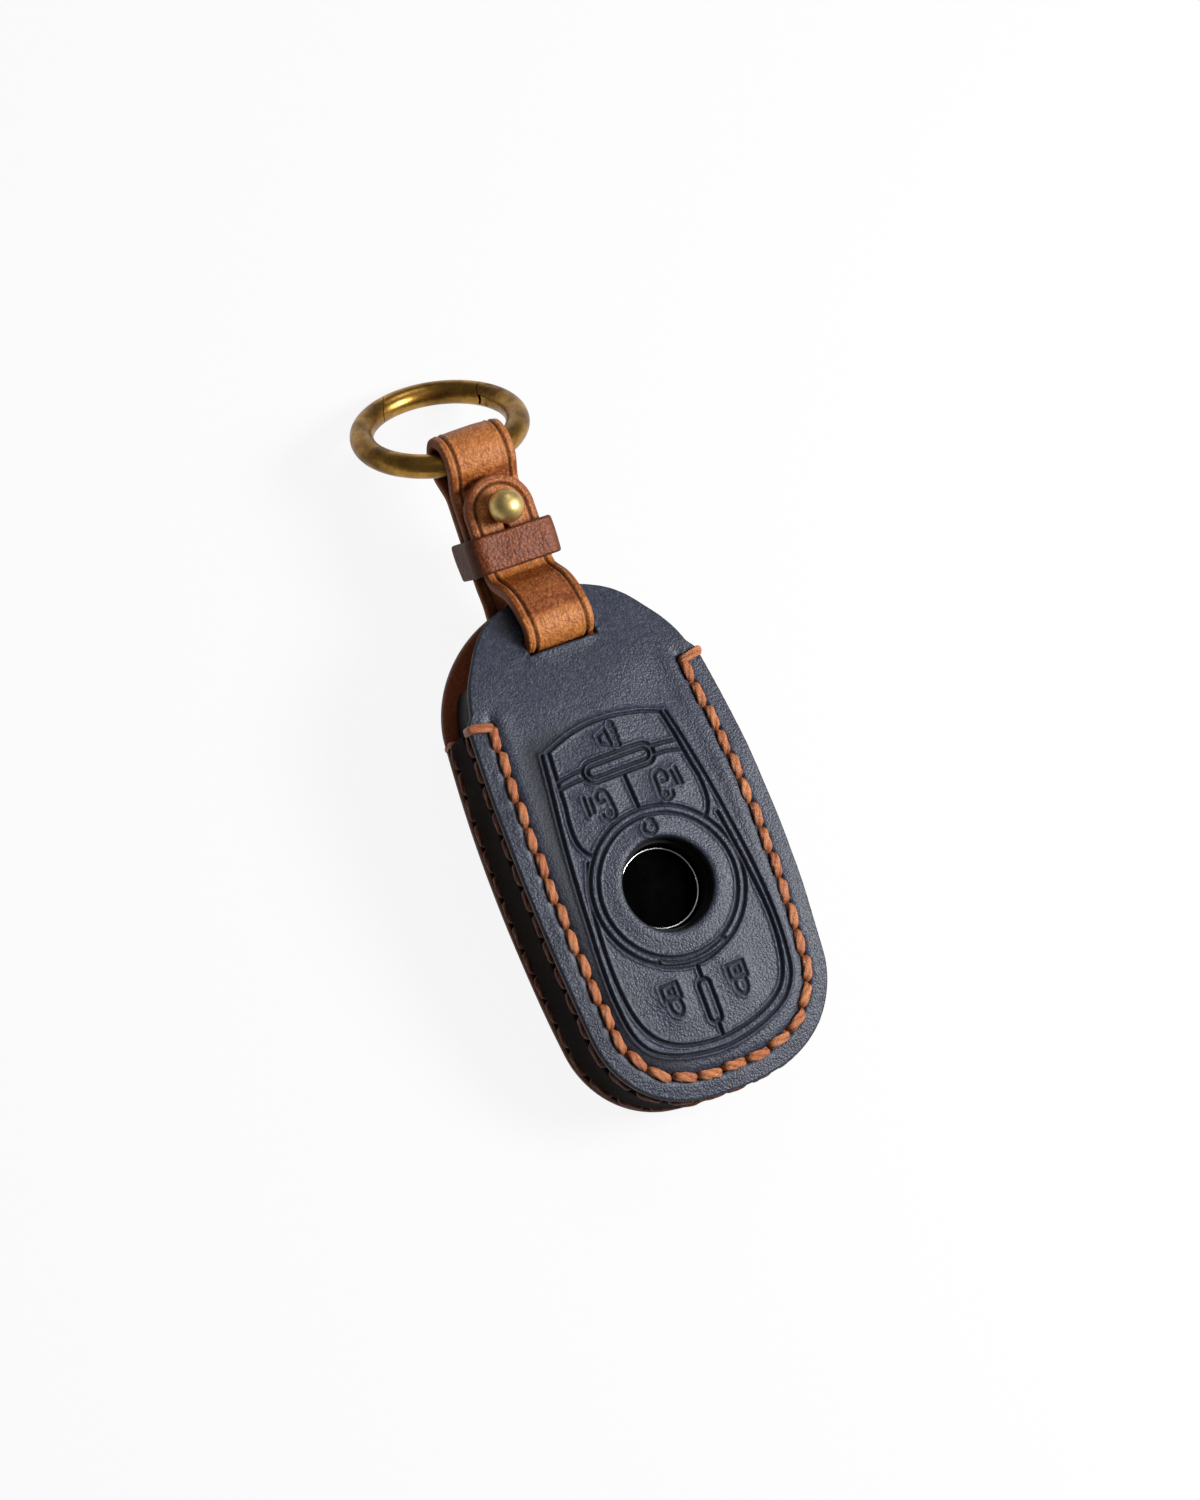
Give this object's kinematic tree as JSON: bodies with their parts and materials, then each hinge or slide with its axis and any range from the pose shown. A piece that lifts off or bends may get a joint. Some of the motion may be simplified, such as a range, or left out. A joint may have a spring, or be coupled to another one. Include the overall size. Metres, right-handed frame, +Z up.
{
  "type": "leather car key cover",
  "caption": "Stitched leather box case for a car key, closed by a buttoned strap that carries a spring-gate ring, with the key inside",
  "frame": {"origin": "middle of the bounding box in X and Y, at the table's height", "axes": "+X across the case, to the right seen from the front with the ring up; +Y along the case towards the strap and ring; +Z up, out of the front face, which leans back 7 degrees because the case lies on its bottom edge and on its ring"},
  "size_m": [0.0452, 0.1322, 0.0276],
  "materials": {
    "panel_leather": "waxed, fine grain",
    "gusset_leather": "waxed",
    "strap_leather": "pull-up, worn",
    "keeper_leather": "pull-up",
    "thread": "waxed thread",
    "key_plastic": "fine texture",
    "emblem_black": "gloss",
    "bright_rim": "polished",
    "aged_brass": "antique",
    "spring_steel": "plain"
  },
  "bodies": {
    "case": {"front_panel": "panel_leather", "back_panel": "panel_leather", "side_gusset": "gusset_leather", "front_face_stitches": "thread", "front_side_stitches": "thread", "back_side_stitches": "thread", "back_face_stitches": "thread", "key_shell_front": "key_plastic", "key_shell_back": "key_plastic", "key_emblem": "emblem_black", "emblem_rim": "bright_rim", "strap": "strap_leather", "stud": "aged_brass", "stud_screw": "aged_brass"},
    "keeper": {"keeper": "keeper_leather"},
    "ring": {"ring_body": "aged_brass", "gate_pin": "aged_brass", "gate_spring": "spring_steel"},
    "gate": {"ring_gate": "aged_brass"}
  },
  "joints": [
    {"name": "ring_swing", "type": "hinge", "parent": "case", "child": "ring", "pos_m": [0, 0.04556, 0.01928], "axis": [1, 0, 0], "range_deg": [-50, 140]},
    {"name": "gate_open", "type": "hinge", "parent": "ring", "child": "gate", "pos_m": [0.01188, 0.05837, 0.00727], "axis": [0, 0.6838, 0.7297], "range_deg": [0, 26], "stiffness_Nm_per_rad": 0.03, "springref_deg": -20.05},
    {"name": "keeper_slide", "type": "slide", "parent": "case", "child": "keeper", "axis": [0, 0.9619, 0.2733], "range_m": [-0.0004, 0.0002]}
  ]
}
